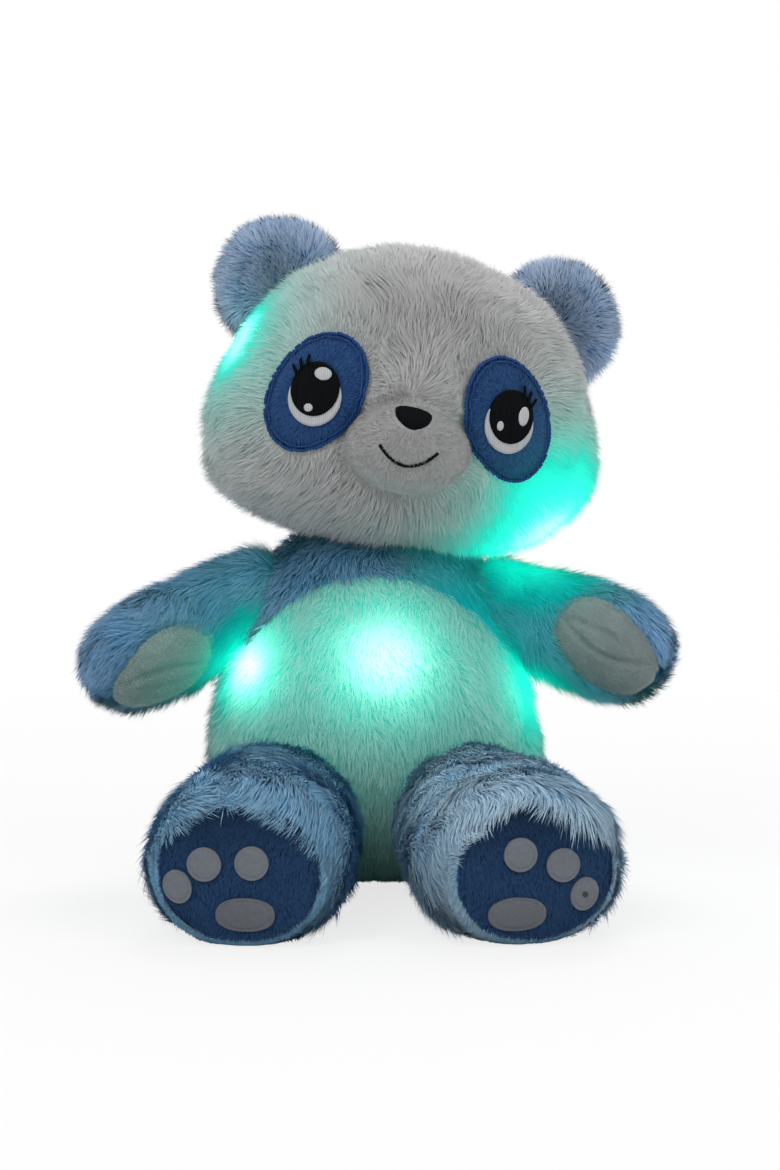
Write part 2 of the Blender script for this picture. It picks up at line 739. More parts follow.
def bodySkin():
    s = bodyShape
    rows = smoothTable(s["shares"], 40)[1:-1]
    angles = 2 * math.pi * np.arange(56) / 56
    rings = []
    for height, width, front, back in rows:
        depth = np.where(np.sin(angles) < 0, front * s["front"], back * s["back"])
        y = np.minimum(depth * np.sin(angles), s["backFlat"])
        z = np.full(len(angles), max(height * (s["height"] + s["seatFlat"]) - s["seatFlat"], 0.0))
        rings.append(np.column_stack([width * s["halfWidth"] * np.cos(angles), y, z]))
    return ringMesh("body_cloth", rings, (0, 0, 0), (0, 0, s["height"]))


def inBelly(points, growth=0.0):
    s = bodyShape
    x, z = points[:, 0], points[:, 2] - s["bellyMiddle"]
    a = s["bellyHalf"] + growth
    b = np.where(z > 0, s["bellyRise"], s["bellyHalf"]) + growth
    return ((x / a) ** 2 + (z / b) ** 2 < 1) & (points[:, 1] < -s["bellyReach"])


def inYoke(points):
    return (points[:, 2] > bodyShape["yokeLow"]) & ~inBelly(points)


def bodyGlow(points, normals):
    colours = glowAt(points, normals, ("belly_middle", "belly_side", "flank"), ())
    blue = inYoke(points)
    rightOf = np.clip((points[:, 0] - 0.005) / 0.035, 0, 1)
    dull = (0.10 + 0.85 * rightOf)[:, None] * np.array((0.0, 1.0, 0.9))
    colours[blue] *= dull[blue]
    return colours


def bodyTone(points, normals):
    # greyer towards the seat, where the pile is rubbed
    low = np.clip((0.075 - points[:, 2]) / 0.07, 0, 1)
    tone = 1 - 0.45 * low
    collar = np.clip((points[:, 2] - 0.140) / 0.02, 0, 1) * inYoke(points)
    return tone * (1 - 0.20 * collar)


def makeBody():
    whole = puffed(linked("body_whole", bodySkin()), travel=0.0020)
    lumpy(whole, 0.030, 0.0014, 1.0)
    points = pointsOf(whole.data)
    points[:, 2] = np.maximum(points[:, 2], 0.0)
    points[:, 1] = np.minimum(points[:, 1], bodyShape["backFlat"] - 0.0006)
    # the seam down the middle of the belly pulls in a little
    seam = hill(points[:, 0], 0, 0.0022) * np.clip((0.075 - points[:, 2]) / 0.04, 0, 1) * (points[:, 1] < 0)
    points[:, 1] += 0.0016 * seam
    # the seat rounds up in front, between the legs
    rounding = np.clip((-0.018 - points[:, 1]) / 0.02, 0, 1) * hill(points[:, 2], 0, 0.014)
    points[:, 2] += 0.0050 * rounding
    setPoints(whole.data, points)
    normals = normalsOf(whole.data)
    setColours(whole.data, bodyGlow(points, normals), bodyTone(points, normals))
    regions = {
        "belly_cloth": (lambda p: inBelly(p), "bellyBacking", "belly_plush", ("belly_panel",)),
        "yoke_cloth": (inYoke, "blueBacking", "blue_plush", ("chest_yoke",)),
        "back_cloth": (lambda p: ~inBelly(p) & ~inYoke(p), "whiteBacking", "white_plush",
                       ("back_panel", "body_fill", "neck_fill")),
    }
    for name, (keepFace, coat, slot, nodes) in regions.items():
        cloth = parted(whole, name, keepFace)
        dress(cloth, coat, "torso", nodes)
    zipLow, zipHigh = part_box("zip_tape_right")[0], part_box("zip_tape_left")[1]

    def offZip(points):
        beside = (np.abs(points[:, 0]) > zipHigh[0] + 0.001) | (points[:, 2] < zipLow[2] - 0.001)
        return beside | (points[:, 2] > zipHigh[2] + 0.001) | (points[:, 1] < 0.03)

    def shorter(points, normals):
        seam = 1 - 0.55 * hill(points[:, 0], 0, 0.0016) * (points[:, 1] < 0) * (points[:, 2] < 0.06)
        low = 0.45 + 0.55 * np.clip((points[:, 2] - 0.004) / 0.014, 0, 1)
        return np.where(normals[:, 2] < -0.75, 0.25, low) * seam

    furs = {
        "belly_fur": ("belly", "bellyPlush", "belly_plush", lambda p, n: inBelly(p, 0.0005)),
        "yoke_fur": ("yoke", "bluePlush", "blue_plush", lambda p, n: inYoke(p)),
        "back_fur": ("back", "whitePlush", "white_plush", lambda p, n: ~inBelly(p) & ~inYoke(p) & offZip(p)),
    }
    for name, (key, coat, slot, keep) in furs.items():
        fur = grow(name, whole, bodyFur[key], towards((0, -0.1, -1)), keep, shorter, bodyGlow, bodyTone)
        dress(fur, coat, "torso")
    bpy.data.objects.remove(whole)


makeBody()
print("body dressed")


# Head


headFur = {
    "face": {"count": 125000, "length": 0.0074, "width": 0.00040, "rise": 0.45, "bend": 0.38, "tuft": 0.0038,
             "gather": 0.12, "stray": 0.20, "swirl": 0.40, "seed": 21},
    "crown": {"count": 84000, "length": 0.0078, "width": 0.00050, "rise": 0.26, "bend": 0.46, "tuft": 0.0042,
              "gather": 0.12, "stray": 0.18, "swirl": 0.25, "seed": 20},
    "muzzle": {"count": 34000, "length": 0.0022, "width": 0.00036, "rise": 0.48, "bend": 0.3, "tuft": 0.0020,
               "gather": 0.08, "stray": 0.30, "swirl": 0.25, "seed": 22},
    "ear": {"count": 22000, "length": 0.0080, "width": 0.00044, "rise": 0.55, "bend": 0.32, "tuft": 0.0040,
            "gather": 0.16, "stray": 0.34, "swirl": 0.45, "seed": 23},
    "patch": {"count": 10500, "length": 0.0020, "width": 0.00034, "rise": 0.36, "bend": 0.3, "tuft": 0.0018,
              "gather": 0.12, "stray": 0.24, "swirl": 0.2, "seed": 24},
}
face = {
    "patchHalf": (0.0189, 0.0278),
    "patchAcross": 0.0440,
    "patchUp": -0.0050,
    "patchLean": 24.0,
    "whiteHalf": (0.0114, 0.0127),
    "whiteDrop": 0.0038,
    "pupilHalf": (0.0103, 0.0119),
    "eyeRise": 0.0012,
    "nose": ((-0.0008, -0.0114), (0.0078, 0.0048)),
    "mouthAside": -0.0012,
    "mouthHalf": 0.0130,
    "mouthUp": -0.0248,
    "mouthSag": 0.0075,
    "mouthThread": 0.00080,
}
shines = {
    # where the stitched lights of each eye lie from its middle, and their half sizes
    "right": (((0.0029, 0.0068), (0.0036, 0.0027)), ((-0.0014, -0.0083), (0.0018, 0.0018))),
    "left": (((0.0052, 0.0010), (0.0023, 0.0042)), ((-0.0050, -0.0046), (0.0015, 0.0021))),
}


def headSkin():
    s = headShape
    rows = smoothTable(s["shares"], 40)[1:-1]
    angles = 2 * math.pi * np.arange(60) / 60
    rings = []
    for height, width, depth in rows:
        x = width * s["halfWidth"] * np.cos(angles)
        y = depth * s["halfDepth"] * np.sin(angles)
        x = x + s["aside"] * np.clip((height + 0.80) / 0.35, 0, 1)
        rings.append(np.column_stack([x, y, np.full(len(angles), height * s["halfHeight"])]))
    mesh = ringMesh("head_cloth", rings, (0, 0, -s["halfHeight"]), (0, 0, s["halfHeight"]))
    mesh.transform(headFrame)
    return mesh


def patchReach(points):
    # below 1 on an eye patch, for points in the head's frame
    reach = np.full(len(points), 9.0)
    for sign in sideSigns.values():
        lean = math.radians(-sign * face["patchLean"])
        x, z = points[:, 0] - sign * face["patchAcross"], points[:, 2] - face["patchUp"]
        across = x * math.cos(lean) - z * math.sin(lean)
        up = x * math.sin(lean) + z * math.cos(lean)
        a, b = face["patchHalf"]
        reach = np.minimum(reach, np.hypot(across / a, up / b))
    return np.where(points[:, 1] < 0, reach, 9.0)


def muzzleReach(points):
    a, _, c = muzzleShape["half"]
    reach = np.hypot(points[:, 0] / a, (points[:, 2] - muzzleShape["middle"][2]) / c)
    return np.where(points[:, 1] < 0, reach, 9.0)


def headGlow(points, normals):
    return glowAt(points, normals, ("cheek", "temple"), ())


def headTone(points, normals):
    # a little greyer over the brow and under the chin
    at = toLocal(headFrame, points)
    brow = np.exp(-((at[:, 0] / 0.040) ** 2) - ((at[:, 2] - 0.038) / 0.024) ** 2) * (at[:, 1] < 0)
    chin = np.clip((-0.030 - at[:, 2]) / 0.04, 0, 1)
    left = np.clip((at[:, 0] + 0.05) / 0.06, 0, 1)
    return 1.03 - 0.24 * brow - 0.22 * chin * (0.4 + 0.6 * left)


def onSkin(tree, matrix, x, z, lift):
    # the place on a skin that lies behind x, z of a frame that faces -Y
    way = (matrix.to_3x3() @ Vector((0, 1, 0))).normalized()
    hit, normal, _, _ = tree.ray_cast(matrix @ Vector((x, -0.15, z)), way)
    if hit is None:
        hit, normal, _, _ = tree.find_nearest(matrix @ Vector((x, -0.05, z)))
    if normal.dot(way) > 0:
        normal = -normal
    return hit + normal * lift, normal


def oval(centre, half, lean=0.0, taper=0.0, square=2.0):
    turn = math.radians(lean)

    def edge(angle, share):
        c, s = math.cos(angle), math.sin(angle)
        x = share * half[0] * math.copysign(abs(c) ** (2 / square), c) * (1 + taper * s)
        z = share * half[1] * math.copysign(abs(s) ** (2 / square), s)
        cosine, sine = math.cos(turn), math.sin(turn)
        return centre[0] + x * cosine + z * sine, centre[1] + z * cosine - x * sine
    return edge


def appliqued(name, tree, matrix, edge, lift, crown, skirt, rings=10, count=48, relief=None):
    # a cloth or thread shape that lies on a skin, crowned in its middle, its rim turned under
    points, faces = [], []
    points.append(onSkin(tree, matrix, *edge(0.0, 0.0), lift + crown)[0])
    for ring in range(1, rings + 1):
        share = ring / rings
        for i in range(count):
            x, z = edge(2 * math.pi * i / count, share)
            height = lift + crown * (1 - share**4)
            if relief:
                height += relief(x, z, share)
            points.append(onSkin(tree, matrix, x, z, height)[0])
    for i in range(count):
        x, z = edge(2 * math.pi * i / count, 1.0)
        points.append(onSkin(tree, matrix, x, z, lift - skirt)[0])
    for i in range(count):
        j = (i + 1) % count
        faces.append((0, 1 + i, 1 + j))
        for ring in range(rings):
            low, high = 1 + ring * count, 1 + (ring + 1) * count
            faces.append((low + i, high + i, high + j, low + j))
    return linked(name, meshFrom(name, points, faces))


def corded(name, path, radius, closed=False, ridge=0.0, sides=8):
    # a stitched cord: each wrap of the thread shows as a small ridge
    path = [Vector(point) for point in path]
    rings, total, up = [], len(path), None
    for i, point in enumerate(path):
        ahead = path[(i + 1) % total] if closed or i + 1 < total else point
        behind = path[i - 1] if closed or i > 0 else point
        along = (ahead - behind).normalized()
        up = along.orthogonal() if up is None else up
        up = (up - along * up.dot(along)).normalized()
        side = along.cross(up)
        size = radius * (1 + ridge * (1 if i % 2 else -1))
        if not closed and i in (0, total - 1):
            size *= 0.55
        angles = [2 * math.pi * k / sides for k in range(sides)]
        rings.append([point + (up * math.cos(a) + side * math.sin(a)) * size for a in angles])
    if not closed:
        return linked(name, ringMesh(name, rings, path[0], path[-1]))
    points = [point for ring in rings for point in ring]
    faces = []
    for row in range(total):
        following = (row + 1) % total
        for k in range(sides):
            m = (k + 1) % sides
            faces.append((row * sides + k, row * sides + m, following * sides + m, following * sides + k))
    return linked(name, meshFrom(name, points, faces))


def rimmed(name, tree, matrix, edge, lift, radius, count=150, share=1.0, ridge=0.16):
    path = [onSkin(tree, matrix, *edge(2 * math.pi * i / count, share), lift)[0] for i in range(count)]
    return corded(name, path, radius, closed=True, ridge=ridge)


def threadCoat(name, colour, pitch=250.0, shine=0.6, depth=0.5):
    # satin stitching: close parallel threads
    coat = Coat(name, roughness=shine)
    rows = coat.node("ShaderNodeTexWave", {"bands_direction": "X"},
                     {"Vector": coat.place(), "Scale": pitch, "Distortion": 1.2})
    worn = coat.noise(420.0, 3.0, (1.0, 1.0, 0.2))
    shade = (rows * 0.55 + worn * 0.6 - 0.1).clamped()
    dark = tuple(depth * c for c in colour)
    light = tuple(min(1.4 * c + 0.002, 1.0) for c in colour)
    coat.feed({"Base Color": coat.mix(shade, rgb(*dark), rgb(*light)), "Specular IOR Level": 0.05})
    return coat.bump(rows, 0.5, 0.0002)


coats["blackThread"] = threadCoat("black embroidery", (0.0022, 0.0028, 0.0036), shine=0.8)
coats["whiteThread"] = threadCoat("white embroidery", (0.40, 0.41, 0.43), 330.0, depth=0.85)
coats["blueThread"] = threadCoat("blue satin stitch", (0.018, 0.062, 0.20))


def makeHead():
    skin = puffed(linked("head_cloth", headSkin()), travel=0.0020)
    lumpy(skin, 0.034, 0.0013, 4.0)
    # sewing on the muzzle and the patches pulls the cloth in round them
    points, normals = pointsOf(skin.data), normalsOf(skin.data)
    at = toLocal(headFrame, points)
    pull = 0.0022 * hill(muzzleReach(at), 1.08, 0.11) + 0.0014 * hill(patchReach(at), 1.05, 0.10)
    setPoints(skin.data, points - normals * pull[:, None])
    points, normals = pointsOf(skin.data), normalsOf(skin.data)
    setColours(skin.data, headGlow(points, normals), headTone(points, normals))
    dress(skin, "whiteBacking", "head", ("head_cover", "head_fill"))

    def local(points):
        return toLocal(headFrame, points)

    def keepFace(points, normals):
        at = local(points)
        return (at[:, 1] < 0.012) & (patchReach(at) > 1.02) & (muzzleReach(at) > 0.97)

    def keepCrown(points, normals):
        return local(points)[:, 1] >= 0.012

    def shorter(points, normals):
        # shorter round the eyes and muzzle, so that the face stays clear
        at = local(points)
        nearPatch = np.clip((patchReach(at) - 1.0) / 0.38, 0, 1)
        nearMuzzle = np.clip((muzzleReach(at) - 0.97) / 0.40, 0, 1)
        cheeks = 1 + 0.35 * hill(at[:, 2], -0.045, 0.022) * np.clip((np.abs(at[:, 0]) - 0.03) / 0.03, 0, 1)
        return (0.20 + 0.80 * np.minimum(nearPatch, nearMuzzle)) * cheeks

    def combedFace(points, normals):
        # outwards and down, and away from the patches and the muzzle
        at = local(points)
        flow = at - np.array((0, -0.078, -0.006))
        flow = unit(flow) + np.array((0, 0, -0.35))
        for sign in sideSigns.values():
            gap = at - np.array((sign * face["patchAcross"], -0.058, face["patchUp"]))
            near = hill(patchReach(at), 1.0, 0.45)[:, None] * (np.sign(at[:, 0]) == sign)[:, None]
            flow = flow * (1 - 0.85 * near) + unit(gap) * near * 1.2
        gap = at - np.array((0, -0.075, muzzleShape["middle"][2]))
        near = hill(muzzleReach(at), 1.0, 0.30)[:, None]
        flow = flow * (1 - 0.8 * near) + unit(gap) * near
        return flow @ np.array(headFrame.to_3x3()).T

    fromFace = awayFrom(headFrame @ Vector((0, -0.078, 0.010)))

    def combedCrown(at, normals):
        # away from the face, and downwards at the back
        behind = np.clip((at[:, 1] - headFrame.translation.y) / 0.05, 0, 1)[:, None]
        return (1 - behind) * unit(fromFace(at, normals)) + behind * np.array((0.0, 0.2, -1.0))

    for name, key, keep in (("face_fur", "face", keepFace), ("crown_fur", "crown", keepCrown)):
        lay = combedFace if key == "face" else combedCrown
        fur = grow(name, skin, headFur[key], lay, keep, shorter, headGlow, headTone)
        dress(fur, "whitePlush" if key == "face" else "crownPlush", "head")
    return skin


def makeMuzzle():
    a, b, c = muzzleShape["half"]
    x0, y0, z0 = muzzleShape["middle"]
    rings = []
    for climb in np.linspace(-0.5 * math.pi, 0.5 * math.pi, 34)[1:-1]:
        angles = 2 * math.pi * np.arange(56) / 56
        out = abs(math.cos(climb)) ** 0.90
        x, z = a * out * np.cos(angles), c * out * np.sin(angles)
        y = np.full(len(angles), -b * math.sin(climb))
        # a soft dip below the nose and round the mouth
        y = y + 0.0010 * np.exp(-((x / 0.005) ** 2) - ((z + 0.003) / 0.008) ** 2) * (climb > 0)
        rings.append(np.column_stack([x + x0, y + y0, z + z0]))
    mesh = ringMesh("muzzle_cloth", rings, (x0, y0 + b, z0), (x0, y0 - b, z0))
    mesh.transform(headFrame)
    muzzle = lumpy(linked("muzzle_cloth", mesh), 0.02, 0.0005, 3.0)
    shine = lambda p, n: glowAt(p, n, (), ("cheek",), (0.1, 0.35, 0.35))
    wholeGlow(muzzle, shine)
    dress(muzzle, "whiteBacking", "head", ("muzzle",))
    (noseX, noseZ), (noseA, noseC) = face["nose"]

    def keep(points, normals):
        at = toLocal(headFrame, points)
        x, z = (at[:, 0] - noseX) / (noseA - 0.0003), (at[:, 2] - noseZ) / (noseC - 0.0004)
        t = (at[:, 0] - face["mouthAside"]) / face["mouthHalf"]
        mouthZ = face["mouthUp"] - face["mouthSag"] * (1 - t**2)
        onMouth = (np.abs(at[:, 2] - mouthZ) < 0.0011) & (np.abs(t) < 1.03)
        return (at[:, 1] < -0.045) & (x * x + z * z > 1) & ~onMouth

    def tone(points, normals):
        # darker in the crease where it meets the head and towards the chin
        at = toLocal(headFrame, points)
        rim = np.clip((muzzleReach(at) - 0.86) / 0.14, 0, 1)
        low = np.clip((-0.030 - at[:, 2]) / 0.018, 0, 1)
        return (0.94 - 0.20 * rim * (1 - 0.7 * low)) * (1 + 0.16 * low)

    lay = awayFrom(headFrame @ Vector((0, -0.085, -0.016)))
    fur = grow("muzzle_fur", muzzle, headFur["muzzle"], lay, keep, None, shine, tone)
    dress(fur, "muzzlePlush", "head")
    return muzzle


def makeFace(skin, muzzle):
    tree, lipTree = treeOf(skin), treeOf(muzzle)
    noseEdge = oval(*face["nose"], lean=5.0, taper=0.42, square=2.4)
    nose = appliqued("nose_stitched", lipTree, headFrame, noseEdge, 0.0006, 0.0020, 0.0022, rings=12,
                     count=52)
    dress(nose, "blackThread", "head", ("nose",))
    path = []
    for i in range(61):
        t = i / 30 - 1
        x, z = face["mouthAside"] + face["mouthHalf"] * t, face["mouthUp"] - face["mouthSag"] * (1 - t * t)
        path.append(onSkin(lipTree, headFrame, x, z, 0.0009)[0])
    mouth = corded("mouth_stitched", path, face["mouthThread"], ridge=0.20)
    dress(mouth, "blackThread", "head", ("mouth_thread",))
    for side, sign in sideSigns.items():
        makeEye(side, sign, tree)


def makeEye(side, sign, tree):
    across, up = sign * face["patchAcross"], face["patchUp"]
    edge = oval((across, up), face["patchHalf"], -sign * face["patchLean"])
    patch = appliqued("eye_patch_cloth_" + side, tree, headFrame, edge, 0.0012, 0.0006, 0.0022)
    shine = lambda p, n: glowAt(p, n, ("cheek",), (), (0.0, 0.10, 0.10))
    wholeGlow(patch, shine)
    dress(patch, "patchBacking", "head", ("eye_patch_" + side,))
    eyeUp = up + face["eyeRise"]
    whiteAt = (across, eyeUp - face["whiteDrop"])
    white = oval(whiteAt, face["whiteHalf"], -sign * 6)
    pupil = oval((across, eyeUp), face["pupilHalf"], -sign * 6)

    def clear(points, normals):
        at = toLocal(headFrame, points)
        x = (at[:, 0] - whiteAt[0]) / face["whiteHalf"][0]
        z = (at[:, 2] - whiteAt[1] - 0.0012) / (face["whiteHalf"][1] + 0.0012)
        return (x * x + z * z > 1) & (normals @ np.array(headFrame.to_3x3() @ Vector((0, 1, 0))) < -0.1)

    lay = awayFrom(headFrame @ Vector((across, -0.055, up)))
    fur = grow("eye_patch_fur_" + side, patch, {**headFur["patch"], "seed": 24 + sign}, lay, clear, None,
               shine)
    dress(fur, "patchPlush", "head")
    border = rimmed("eye_patch_border_" + side, tree, headFrame, edge, 0.0022, 0.00085, 190)
    dress(border, "blueThread", "head")
    stitch = rimmed("eye_patch_stitch_" + side, tree, headFrame, edge, 0.0028, 0.00040, 150, 0.92, 0.25)
    dress(stitch, "blueThread", "head")
    eyeWhite = appliqued("eye_white_" + side, tree, headFrame, white, 0.0028, 0.0004, 0.0020)
    dress(eyeWhite, "whiteThread", "head")
    eye = appliqued("eye_stitched_" + side, tree, headFrame, pupil, 0.0036, 0.0005, 0.0016)
    dress(eye, "blackThread", "head", ("eye_" + side,))
    for label, ((dx, dz), half) in zip(("shine", "spark"), shines[side]):
        spot = oval((across + dx, eyeUp + dz), half)
        spot = appliqued("eye_%s_%s" % (label, side), tree, headFrame, spot, 0.0044, 0.0003, 0.0010,
                         rings=5, count=28)
        dress(spot, "whiteThread", "head")
    for number, angle in enumerate((30, 47, 64), 1):
        # lashes curl out of the upper outer edge of the pupil
        path = []
        for i in range(10):
            t = i / 9
            turn = math.radians(angle + 9 * t)
            reach = 0.90 + 0.36 * t
            x = across + sign * face["pupilHalf"][0] * reach * math.cos(turn)
            z = eyeUp + face["pupilHalf"][1] * reach * math.sin(turn)
            path.append(onSkin(tree, headFrame, x, z, 0.0042)[0])
        lash = corded("lash_%s_%d" % (side, number), path, 0.00075, ridge=0.18)
        dress(lash, "blackThread", "head")


def makeEars():
    a, b, c = earShape["half"]
    for side, sign in sideSigns.items():
        matrix = earFrame(side)
        rings = []
        for climb in np.linspace(-0.5 * math.pi, 0.5 * math.pi, 32)[1:-1]:
            angles = 2 * math.pi * np.arange(48) / 48
            out = math.cos(climb)
            y = -b * math.sin(climb)
            if climb > 0:
                y += earShape["cup"] * max(0.0, 1 - (out / earShape["cupRadius"]) ** 2) ** 1.2
            rings.append(np.column_stack([a * out * np.cos(angles), np.full(48, y),
                                          c * out * np.sin(angles)]))
        mesh = ringMesh("ear_cloth_" + side, rings, (0, b, 0), (0, -b + earShape["cup"], 0))
        mesh.transform(matrix)
        ear = lumpy(linked("ear_cloth_" + side, mesh), 0.02, 0.0008, 7.0 + sign)
        near = ("temple",) if side == "right" else ()
        shine = lambda p, n, near=near: glowAt(p, n, (), near, (0.0, 0.36, 0.33))

        def hollow(points, normals, matrix=matrix):
            at = toLocal(matrix, points)
            inner = np.clip(1.25 - np.hypot(at[:, 0], at[:, 2]) / 0.0165, 0, 1) * (at[:, 1] < 0)
            return 1 - 0.52 * inner

        def keep(points, normals):
            at = toLocal(headFrame, points) / np.array((headShape["halfWidth"], headShape["halfDepth"],
                                                        headShape["halfHeight"]))
            return (at**2).sum(axis=1) > 0.92

        def cupped(points, normals, matrix=matrix):
            at = toLocal(matrix, points)
            inner = (np.hypot(at[:, 0], at[:, 2]) < 0.0165) & (at[:, 1] < 0)
            return np.where(inner, 0.60, 1.0)

        points, normals = pointsOf(ear.data), normalsOf(ear.data)
        setColours(ear.data, shine(points, normals), hollow(points, normals))
        dress(ear, "blueBacking", "head", ("ear_" + side,))
        lay = awayFrom(matrix @ Vector((0, 0.004, -0.006)))
        fur = grow("ear_fur_" + side, ear, {**headFur["ear"], "seed": 30 + sign}, lay, keep, cupped, shine,
                   hollow)
        dress(fur, "earPlush", "head")


headCloth = makeHead()
makeFace(headCloth, makeMuzzle())
makeEars()
print("head dressed")


# Arms


limbFur = {
    "arm": {"count": 33000, "length": 0.0078, "width": 0.00046, "rise": 0.40, "bend": 0.42, "tuft": 0.0044,
            "gather": 0.15, "stray": 0.24, "swirl": 0.55, "seed": 40},
    "leg": {"count": 56000, "length": 0.0088, "width": 0.00050, "rise": 0.24, "bend": 0.46, "tuft": 0.0052,
            "gather": 0.14, "stray": 0.20, "swirl": 0.65, "seed": 50},
    "palm": {"count": 7000, "length": 0.0013, "width": 0.00032, "rise": 0.50, "bend": 0.3, "tuft": 0.0016,
             "gather": 0.08, "stray": 0.35, "swirl": 0.5, "seed": 70},
    "sole": {"count": 17000, "length": 0.0023, "width": 0.00036, "rise": 0.42, "bend": 0.3, "tuft": 0.0022,
             "gather": 0.12, "stray": 0.28, "swirl": 0.3, "seed": 60},
}


def limbRings(shares, length, halfOne, halfTwo, count=44, rows=34):
    table = smoothTable(shares, rows)
    angles = 2 * math.pi * np.arange(count) / count
    rings = []
    for reach, one, two in table:
        rings.append(np.column_stack([np.full(count, reach * length), one * halfOne * np.cos(angles),
                                      two * halfTwo * np.sin(angles)]))
    return rings


def feltCoat(name, colour):
    coat = Coat(name, roughness=0.95)
    fibres, cloud = coat.noise(620.0, 4.0), coat.noise(60.0, 2.0)
    shade = (fibres * 0.7 + cloud * 0.5 - 0.1).clamped()
    felt = coat.mix(shade, rgb(*(0.72 * c for c in colour)), rgb(*(1.18 * c for c in colour)))
    lit(coat, coat.scaled(felt, coat.attribute("tone")), 1.0)
    coat.feed({"Sheen Weight": 0.12})
    return coat.bump(fibres, 0.4, 0.0003)


coats["padFelt"] = feltCoat("grey felt", (0.148, 0.162, 0.184))
coats["palmFelt"] = feltCoat("pale palm felt", (0.215, 0.265, 0.262))
coats["feltThread"] = threadCoat("grey stitching", (0.075, 0.082, 0.095), shine=0.8)


def makeArm(side):
    s = armShape
    sign = sideSigns[side]
    matrix = armFrame(side)
    rings = limbRings(s["shares"], s["length"], s["halfHeight"], s["halfThickness"])
    mesh = ringMesh("arm_cloth_" + side, rings[1:-1], rings[0][0] * (1, 0, 0), (s["length"], 0, 0))
    mesh.transform(matrix)
    arm = puffed(linked("arm_cloth_" + side, mesh), travel=0.0018, voxel=0.0036)
    lumpy(arm, 0.022, 0.0012, 9.0 + sign)
    near = ("belly_side",) if side == "right" else ("flank", "cheek")
    strength, spread = (1.05, 1.7) if side == "right" else (1.20, 2.0)
    shine = lambda p, n: strength * glowAt(p, n, (), near, (0.0, 0.92, 0.74), spread)
    wholeGlow(arm, shine)
    tree = treeOf(arm)
    along = matrix.to_3x3() @ Vector((1, 0, 0))
    palmX, (halfLong, halfHigh) = s["palmAlong"][side], s["palmHalf"]
    palmFrame = matrix @ turned(-90, "X")  # faces -Y, with X along the arm
    lean = s["palmLeans"][side]

    def crease(x, z, share):
        # two soft folds that curve across the palm, inside a sewn edge
        t, up = (x - palmX) / halfLong, z / halfHigh
        fade = max(0.0, 1 - share**4)
        first = math.exp(-(((up + 0.15 - 0.5 * t * t + 0.35 * t) / 0.085) ** 2))
        second = math.exp(-(((up - 0.35 + 0.30 * t + 0.25 * t * t) / 0.095) ** 2)) * (0.4 + 0.6 * (t < 0.3))
        sewn = math.exp(-(((share - 0.90) / 0.035) ** 2))
        return -0.0013 * fade * (first + 0.8 * second) - 0.0005 * sewn

    edge = oval((palmX, 0.0), (halfLong, halfHigh), lean)
    palm = appliqued("palm_felt_" + side, tree, palmFrame, edge, 0.0010, 0.0018, 0.0022, rings=26, count=64,
                     relief=crease)
    palmFilter, palmTone = ((0.0, 1.0, 0.80), 1.30) if side == "right" else ((0.10, 0.40, 0.36), 1.0)
    palmShine = lambda p, n: glowAt(p, n, (), near, palmFilter, 2.0)
    wholeGlow(palm, palmShine)
    dress(palm, "palmFelt", "arm_" + side, ("arm_%s_palm" % side,))
    outwards = np.array(palmFrame.to_3x3() @ Vector((0, -1, 0)))
    palmSeed = {**limbFur["palm"], "seed": 70 + sign}
    pile = grow("palm_pile_" + side, palm, palmSeed, awayFrom(palmFrame @ Vector((palmX, -0.02, 0.0))),
                lambda p, n: n @ outwards > 0.15, None, palmShine, lambda p, n: np.full(len(p), palmTone))
    dress(pile, "palmPlush", "arm_" + side)

    def palmReach(points):
        at = toLocal(palmFrame, points)
        turn = math.radians(lean)
        x, z = at[:, 0] - palmX, at[:, 2]
        reach = np.hypot((x * math.cos(turn) - z * math.sin(turn)) / halfLong,
                         (x * math.sin(turn) + z * math.cos(turn)) / halfHigh)
        return np.where(at[:, 1] < 0, reach, 9.0)

    def keep(points, normals):
        return palmReach(points) > 0.99

    def shorter(points, normals):
        return 0.40 + 0.60 * np.clip((palmReach(points) - 0.97) / 0.35, 0, 1)

    def tone(points, normals):
        tip = np.clip((toLocal(matrix, points)[:, 0] / s["length"] - 0.55) / 0.4, 0, 1)
        return (1 - 0.35 * hill(palmReach(points), 1.0,
                                0.12)) * (0.96 + (0.02 if side == "right" else 0.45) * tip)

    fur = grow("arm_fur_" + side, arm, {**limbFur["arm"], "seed": 40 + sign},
               towards(np.array(along) + (0, 0, -0.25)), keep, shorter, shine, tone)
    body = "arm_" + side
    shoulder = Vector(s["shoulders"][side])
    start, end = shoulder - along * 0.012, shoulder + along * 0.016
    coats["blueBacking"].wearing(arm)
    coats["bluePlush"].wearing(fur)
    for item in (arm, fur):
        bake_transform(item)
    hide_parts(body + "_sleeve", body + "_fill")


for armSide in sideSigns:
    makeArm(armSide)
print("arms dressed")


# Legs


